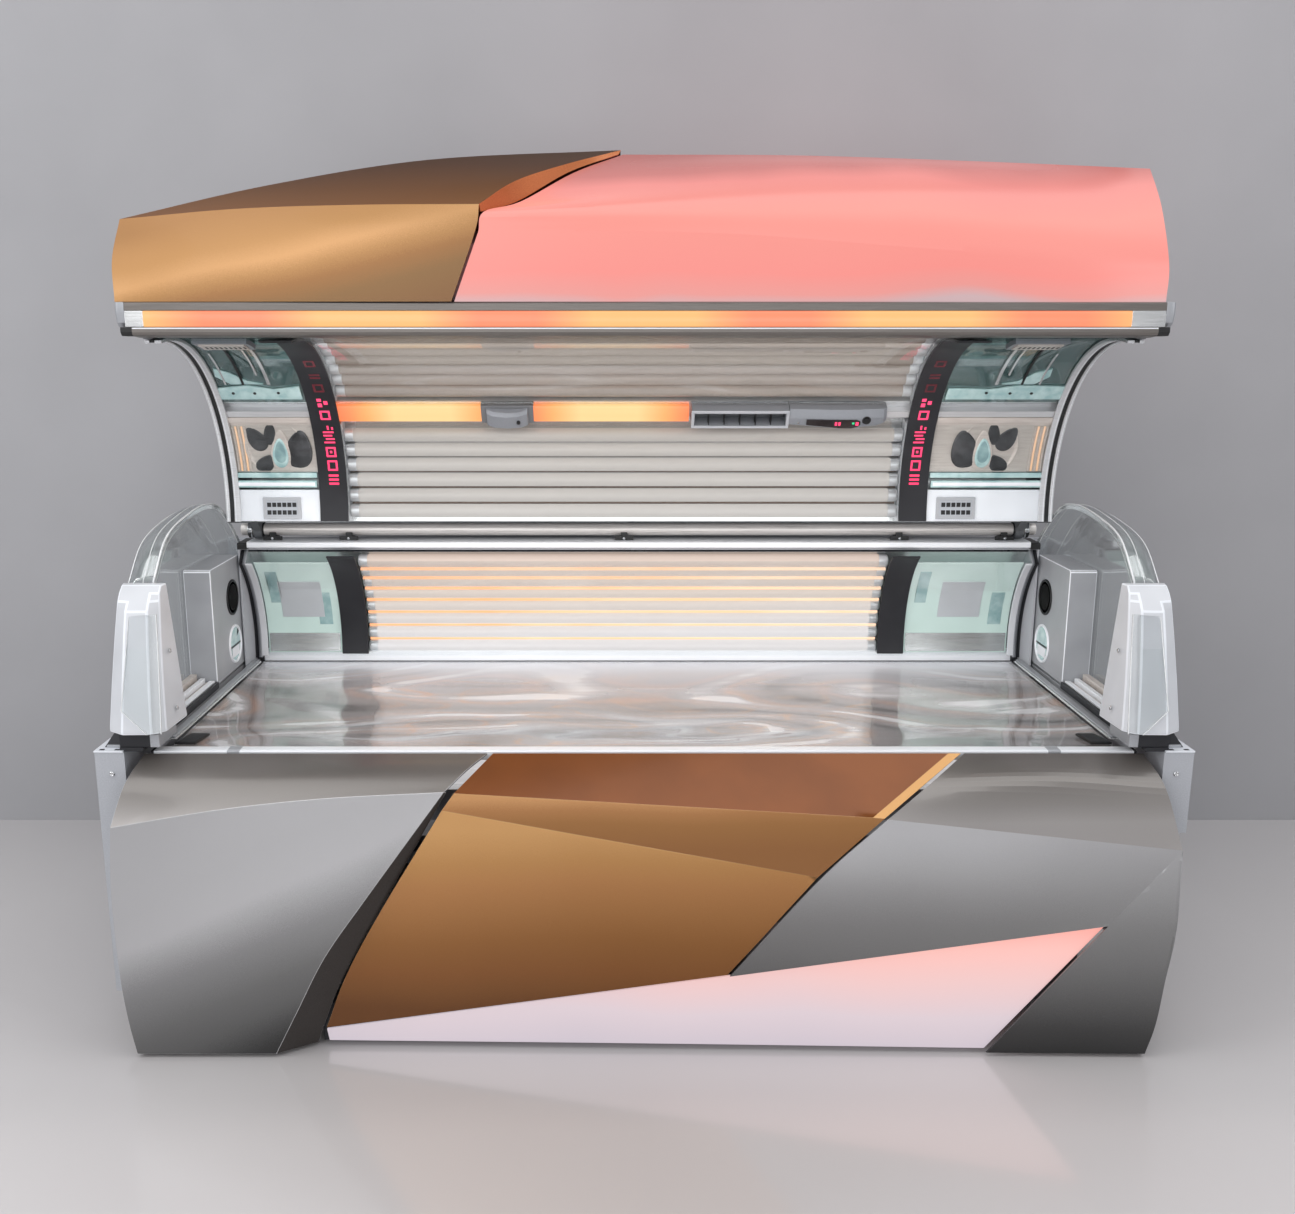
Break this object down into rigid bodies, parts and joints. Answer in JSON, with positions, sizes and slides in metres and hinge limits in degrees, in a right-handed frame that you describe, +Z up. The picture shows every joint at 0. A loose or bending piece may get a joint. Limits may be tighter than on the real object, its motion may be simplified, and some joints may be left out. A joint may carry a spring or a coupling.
{
  "type": "clamshell tanning bed",
  "caption": "Clamshell tanning bed: a bench with a clear contoured bed and a curved rear wall of lamps, and a hinged canopy with a creased two-tone hood.",
  "frame": {"origin": "on the floor, in the middle of the bed's footprint", "axes": "+X to the right of someone standing in front of the bench, along the bed; +Y to the back; +Z up; the canopy is open"},
  "size_m": [2.44, 1.355, 2.014],
  "materials": {
    "frame_steel": "satin",
    "feet_rubber": "matte",
    "white_panel": "satin",
    "silver_paint": "satin",
    "gold_paint": "satin",
    "lit_acrylic": "gloss",
    "charcoal_plastic": "matte",
    "satin_aluminium": "satin",
    "clear_acrylic": "gloss",
    "lamp_glass": "gloss",
    "white_plastic": "satin",
    "reflector_sheet": "polished",
    "silver_plastic": "satin",
    "black_plastic": "matte",
    "zinc_steel": "satin",
    "gold_plastic": "satin",
    "teal_acrylic": "gloss",
    "black_paint": "satin",
    "bright_steel": "polished"
  },
  "bodies": {
    "bench": {"floor_frame": "frame_steel", "levelling_feet": "feet_rubber", "side_panel_left": "white_panel", "side_panel_right": "white_panel", "front_panel_left": "silver_paint", "front_panel_centre": "gold_paint", "front_panel_right": "silver_paint", "front_light_panel": "lit_acrylic", "toe_skirt": "charcoal_plastic", "front_rail": "satin_aluminium", "rear_wall_trims": "satin_aluminium", "bed_pane": "clear_acrylic", "bench_lamps": "lamp_glass", "bench_lamp_holders": "white_plastic", "bench_reflector": "reflector_sheet", "rear_pane": "clear_acrylic", "rear_dark_covers": "charcoal_plastic", "side_ledges": "white_plastic", "front_pillars": "silver_plastic", "rear_pillars": "silver_plastic", "pod_fittings": "black_plastic", "end_domes": "clear_acrylic", "hinge_shaft": "frame_steel", "hinge_brackets": "black_plastic", "back_cover": "white_plastic", "fan_housings": "black_plastic", "ballasts": "zinc_steel", "mains_gland": "black_plastic"},
    "canopy": {"canopy_end_frames": "frame_steel", "canopy_beams": "satin_aluminium", "hood_gold": "gold_plastic", "hood_light": "lit_acrylic", "hood_back": "white_plastic", "fascia": "silver_plastic", "light_bars": "lit_acrylic", "canopy_lip": "silver_plastic", "canopy_pane": "clear_acrylic", "canopy_lamps": "lamp_glass", "canopy_lamp_holders": "white_plastic", "canopy_reflectors": "reflector_sheet", "nozzle_unit": "silver_plastic", "air_outlet": "silver_plastic", "control_unit": "silver_plastic", "control_display": "black_plastic", "canopy_dark_covers": "charcoal_plastic", "face_windows": "teal_acrylic", "vent_panels": "white_plastic"},
    "control_button": {"control_button": "black_plastic"},
    "strut_cylinder_left": {"strut_cylinder_left": "black_paint"},
    "strut_cylinder_right": {"strut_cylinder_right": "black_paint"},
    "strut_rod_left": {"strut_rod_left": "bright_steel"},
    "strut_rod_right": {"strut_rod_right": "bright_steel"},
    "fan_rotor_left": {"fan_rotor_left": "black_plastic"},
    "fan_rotor_right": {"fan_rotor_right": "black_plastic"},
    "outlet_vane_1": {"outlet_vane_1": "black_plastic"},
    "outlet_vane_2": {"outlet_vane_2": "black_plastic"},
    "outlet_vane_3": {"outlet_vane_3": "black_plastic"},
    "outlet_vane_4": {"outlet_vane_4": "black_plastic"},
    "outlet_vane_5": {"outlet_vane_5": "black_plastic"}
  },
  "joints": [
    {"name": "canopy_hinge", "type": "hinge", "parent": "bench", "child": "canopy", "pos_m": [0, 0.225, 1.07], "axis": [1, 0, 0], "range_deg": [0, 48], "stiffness_Nm_per_rad": 376, "springref_deg": -53.06},
    {"name": "strut_pivot_left", "type": "hinge", "parent": "bench", "child": "strut_cylinder_left", "pos_m": [-1.0704, 0.36, 0.45], "axis": [1, 0, 0], "range_deg": [-1, 3]},
    {"name": "strut_slide_left", "type": "slide", "parent": "strut_cylinder_left", "child": "strut_rod_left", "axis": [0, -0.0314, 0.9995], "range_m": [-0.005, 0.105]},
    {"name": "strut_pivot_right", "type": "hinge", "parent": "bench", "child": "strut_cylinder_right", "pos_m": [1.0704, 0.36, 0.45], "axis": [1, 0, 0], "range_deg": [-1, 3]},
    {"name": "strut_slide_right", "type": "slide", "parent": "strut_cylinder_right", "child": "strut_rod_right", "axis": [0, -0.0314, 0.9995], "range_m": [-0.005, 0.105]},
    {"name": "fan_left", "type": "hinge", "parent": "bench", "child": "fan_rotor_left", "pos_m": [-0.52, 0.525, 0.52], "axis": [0, 1, 0], "continuous": true},
    {"name": "fan_right", "type": "hinge", "parent": "bench", "child": "fan_rotor_right", "pos_m": [0.52, 0.525, 0.52], "axis": [0, 1, 0], "continuous": true},
    {"name": "vane_1", "type": "hinge", "parent": "canopy", "child": "outlet_vane_1", "pos_m": [0.175, 0.0314, 1.3932], "axis": [0, -0.5446, 0.8387], "range_deg": [-35, 35]},
    {"name": "vane_2", "type": "hinge", "parent": "canopy", "child": "outlet_vane_2", "pos_m": [0.215, 0.0314, 1.3932], "axis": [0, -0.5446, 0.8387], "range_deg": [-35, 35]},
    {"name": "vane_3", "type": "hinge", "parent": "canopy", "child": "outlet_vane_3", "pos_m": [0.255, 0.0314, 1.3932], "axis": [0, -0.5446, 0.8387], "range_deg": [-35, 35]},
    {"name": "vane_4", "type": "hinge", "parent": "canopy", "child": "outlet_vane_4", "pos_m": [0.295, 0.0314, 1.3932], "axis": [0, -0.5446, 0.8387], "range_deg": [-35, 35]},
    {"name": "vane_5", "type": "hinge", "parent": "canopy", "child": "outlet_vane_5", "pos_m": [0.335, 0.0314, 1.3932], "axis": [0, -0.5446, 0.8387], "range_deg": [-35, 35]},
    {"name": "button_press", "type": "slide", "parent": "canopy", "child": "control_button", "axis": [0, 0.8387, 0.5446], "range_m": [0, 0.0025], "stiffness_N_per_m": 600, "springref_m": -0.001}
  ],
  "couplings": [
    {"joint": "strut_pivot_left", "follows": "canopy_hinge", "ratio": 0.02416},
    {"joint": "strut_slide_left", "follows": "canopy_hinge", "m_per_rad": 0.1155},
    {"joint": "strut_pivot_right", "follows": "canopy_hinge", "ratio": 0.02416},
    {"joint": "strut_slide_right", "follows": "canopy_hinge", "m_per_rad": 0.1155},
    {"joint": "vane_2", "follows": "vane_1", "ratio": 1},
    {"joint": "vane_3", "follows": "vane_1", "ratio": 1},
    {"joint": "vane_4", "follows": "vane_1", "ratio": 1},
    {"joint": "vane_5", "follows": "vane_1", "ratio": 1}
  ]
}
